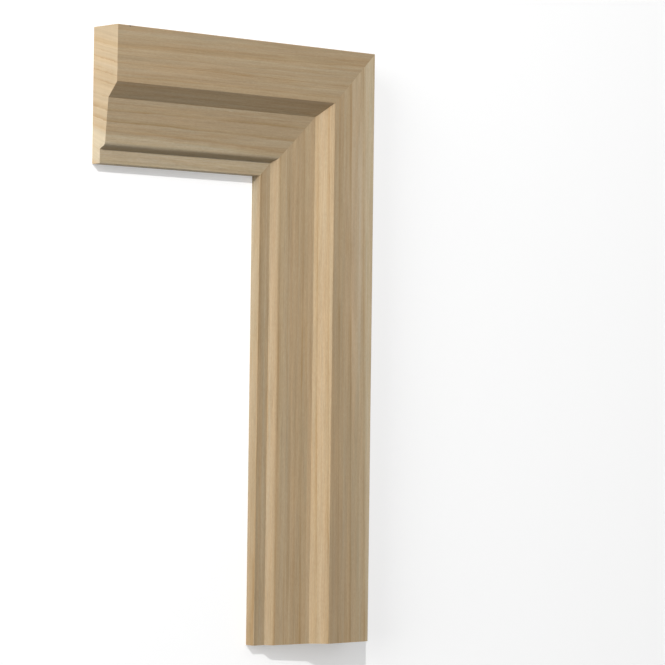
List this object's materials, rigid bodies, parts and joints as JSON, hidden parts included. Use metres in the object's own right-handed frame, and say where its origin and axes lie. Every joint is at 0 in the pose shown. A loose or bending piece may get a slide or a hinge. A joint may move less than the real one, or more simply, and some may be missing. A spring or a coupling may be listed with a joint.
{
  "type": "architrave moulding",
  "caption": "Mitred corner of moulded timber architrave with a thin lip, rounded nose, tapered face, chamfer and flat fascia.",
  "frame": {"origin": "The sight line corner on the back: the point where the inner edges of the leg and the head meet.", "axes": "+X runs across the leg towards its outer edge and along the head, +Y runs up the leg and across the head, and +Z comes out of the moulded face. The flat back lies in the plane Z = 0, and the mitre lies in the plane where X equals Y."},
  "size_m": [0.177, 0.32, 0.02],
  "materials": {
    "leg_timber": "matte",
    "head_timber": "matte"
  },
  "bodies": {
    "root": {"leg": "leg_timber", "head": "head_timber"}
  },
  "joints": []
}
